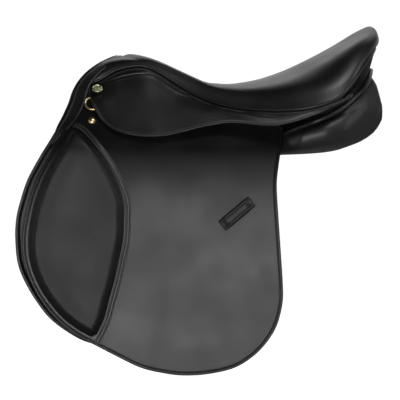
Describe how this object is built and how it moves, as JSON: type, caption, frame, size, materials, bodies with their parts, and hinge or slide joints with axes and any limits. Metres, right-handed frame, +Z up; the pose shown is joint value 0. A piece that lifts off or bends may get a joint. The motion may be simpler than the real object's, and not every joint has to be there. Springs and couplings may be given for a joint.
{
  "type": "english saddle",
  "caption": "General purpose English saddle with flaps, knee pads, skirts over stirrup bars, girth straps and a flocked panel.",
  "frame": {"origin": "on the centre plane under the deepest point of the seat, level with the panel's bearing surface", "axes": "+X to the cantle, -Y the near (left) side, +Z up"},
  "size_m": [0.5604, 0.298, 0.538],
  "materials": {
    "seat_leather": "smooth black calf leather, satin",
    "flap_leather": "black bridle leather with a fine grain, satin",
    "pad_leather": "soft grained black leather",
    "panel_leather": "soft black panel leather",
    "strap_leather": "black bridle leather with waxed edges",
    "welt_leather": "black leather piping",
    "tree_wood": "laminated beech, varnished",
    "tree_steel": "blued spring steel",
    "bar_steel": "forged steel, brushed",
    "web": "natural webbing",
    "foam": "wool and foam padding",
    "brass": "polished brass"
  },
  "bodies": {
    "saddle": {"tree_frame": "tree_wood", "tree_springs": "tree_steel", "tree_points": "tree_steel", "head_plate": "tree_steel", "gullet_plate": "tree_steel", "seat_webbing": "web", "bar_rivets": "bar_steel", "seat_foam": "foam", "seat_cover": "seat_leather", "cantle_facing": "seat_leather", "channel_lining": "panel_leather", "front_facing": "welt_leather", "rear_piping": "welt_leather", "near_flap_top": "flap_leather", "near_sweat_flap": "flap_leather", "near_seat_welt": "welt_leather", "near_skirt_top": "flap_leather", "near_panel": "panel_leather", "near_point_pocket": "panel_leather", "near_stirrup_bar": "bar_steel", "near_dee_chape": "strap_leather", "near_head_nail": "brass", "near_pommel_stud": "brass", "near_front_web": "web", "near_rear_web": "web", "off_flap_top": "flap_leather", "off_sweat_flap": "flap_leather", "off_seat_welt": "welt_leather", "off_skirt_top": "flap_leather", "off_panel": "panel_leather", "off_point_pocket": "panel_leather", "off_stirrup_bar": "bar_steel", "off_dee_chape": "strap_leather", "off_head_nail": "brass", "off_pommel_stud": "brass", "off_front_web": "web", "off_rear_web": "web"},
    "near_flap": {"near_flap": "flap_leather", "near_knee_pad": "pad_leather", "near_knee_strip": "strap_leather", "near_leather_keeper": "strap_leather"},
    "near_skirt": {"near_skirt": "flap_leather"},
    "near_bar_catch": {"near_bar_catch": "bar_steel"},
    "near_dee_ring": {"near_dee_ring": "brass"},
    "near_front_billet": {"near_front_billet": "strap_leather"},
    "near_middle_billet": {"near_middle_billet": "strap_leather"},
    "near_rear_billet": {"near_rear_billet": "strap_leather"},
    "near_buckle_guard": {"near_buckle_guard": "strap_leather"},
    "off_flap": {"off_flap": "flap_leather", "off_knee_pad": "pad_leather", "off_knee_strip": "strap_leather", "off_leather_keeper": "strap_leather"},
    "off_skirt": {"off_skirt": "flap_leather"},
    "off_bar_catch": {"off_bar_catch": "bar_steel"},
    "off_dee_ring": {"off_dee_ring": "brass"},
    "off_front_billet": {"off_front_billet": "strap_leather"},
    "off_middle_billet": {"off_middle_billet": "strap_leather"},
    "off_rear_billet": {"off_rear_billet": "strap_leather"},
    "off_buckle_guard": {"off_buckle_guard": "strap_leather"}
  },
  "joints": [
    {"name": "near_flap_lift", "type": "hinge", "parent": "saddle", "child": "near_flap", "pos_m": [0, -0.116, 0.014], "axis": [-1, 0, 0], "range_deg": [0, 85]},
    {"name": "near_skirt_lift", "type": "hinge", "parent": "saddle", "child": "near_skirt", "pos_m": [-0.11, -0.0949, 0.07465], "axis": [-0.9792, 0.1672, 0.1146], "range_deg": [0, 75]},
    {"name": "near_catch_turn", "type": "hinge", "parent": "saddle", "child": "near_bar_catch", "pos_m": [-0.072, -0.08609, 0.07458], "axis": [0, 0.8242, -0.5662], "range_deg": [0, 90]},
    {"name": "near_dee_swing", "type": "hinge", "parent": "saddle", "child": "near_dee_ring", "pos_m": [-0.204, -0.07736, 0.07881], "axis": [-0.3746, 0.525, 0.7642], "range_deg": [0, 60]},
    {"name": "near_front_billet_swing", "type": "hinge", "parent": "saddle", "child": "near_front_billet", "pos_m": [-0.066, -0.104, 0.004], "axis": [0, 1, 0], "range_deg": [-5, 5]},
    {"name": "near_middle_billet_swing", "type": "hinge", "parent": "saddle", "child": "near_middle_billet", "pos_m": [-0.018, -0.104, 0.004], "axis": [0, 1, 0], "range_deg": [-5, 5]},
    {"name": "near_rear_billet_swing", "type": "hinge", "parent": "saddle", "child": "near_rear_billet", "pos_m": [0.03, -0.104, 0.004], "axis": [0, 1, 0], "range_deg": [-5, 5]},
    {"name": "near_guard_slide", "type": "slide", "parent": "near_middle_billet", "child": "near_buckle_guard", "axis": [0, 0, -1], "range_m": [0, 0.12]},
    {"name": "off_flap_lift", "type": "hinge", "parent": "saddle", "child": "off_flap", "pos_m": [0, 0.116, 0.014], "axis": [1, 0, 0], "range_deg": [0, 85]},
    {"name": "off_skirt_lift", "type": "hinge", "parent": "saddle", "child": "off_skirt", "pos_m": [-0.11, 0.0949, 0.07465], "axis": [0.9792, 0.1672, -0.1146], "range_deg": [0, 75]},
    {"name": "off_catch_turn", "type": "hinge", "parent": "saddle", "child": "off_bar_catch", "pos_m": [-0.072, 0.08609, 0.07458], "axis": [0, 0.8242, 0.5662], "range_deg": [0, 90]},
    {"name": "off_dee_swing", "type": "hinge", "parent": "saddle", "child": "off_dee_ring", "pos_m": [-0.204, 0.07736, 0.07881], "axis": [0.3746, 0.525, -0.7642], "range_deg": [0, 60]},
    {"name": "off_front_billet_swing", "type": "hinge", "parent": "saddle", "child": "off_front_billet", "pos_m": [-0.066, 0.104, 0.004], "axis": [0, 1, 0], "range_deg": [-5, 5]},
    {"name": "off_middle_billet_swing", "type": "hinge", "parent": "saddle", "child": "off_middle_billet", "pos_m": [-0.018, 0.104, 0.004], "axis": [0, 1, 0], "range_deg": [-5, 5]},
    {"name": "off_rear_billet_swing", "type": "hinge", "parent": "saddle", "child": "off_rear_billet", "pos_m": [0.03, 0.104, 0.004], "axis": [0, 1, 0], "range_deg": [-5, 5]},
    {"name": "off_guard_slide", "type": "slide", "parent": "off_middle_billet", "child": "off_buckle_guard", "axis": [0, 0, -1], "range_m": [0, 0.12]}
  ]
}
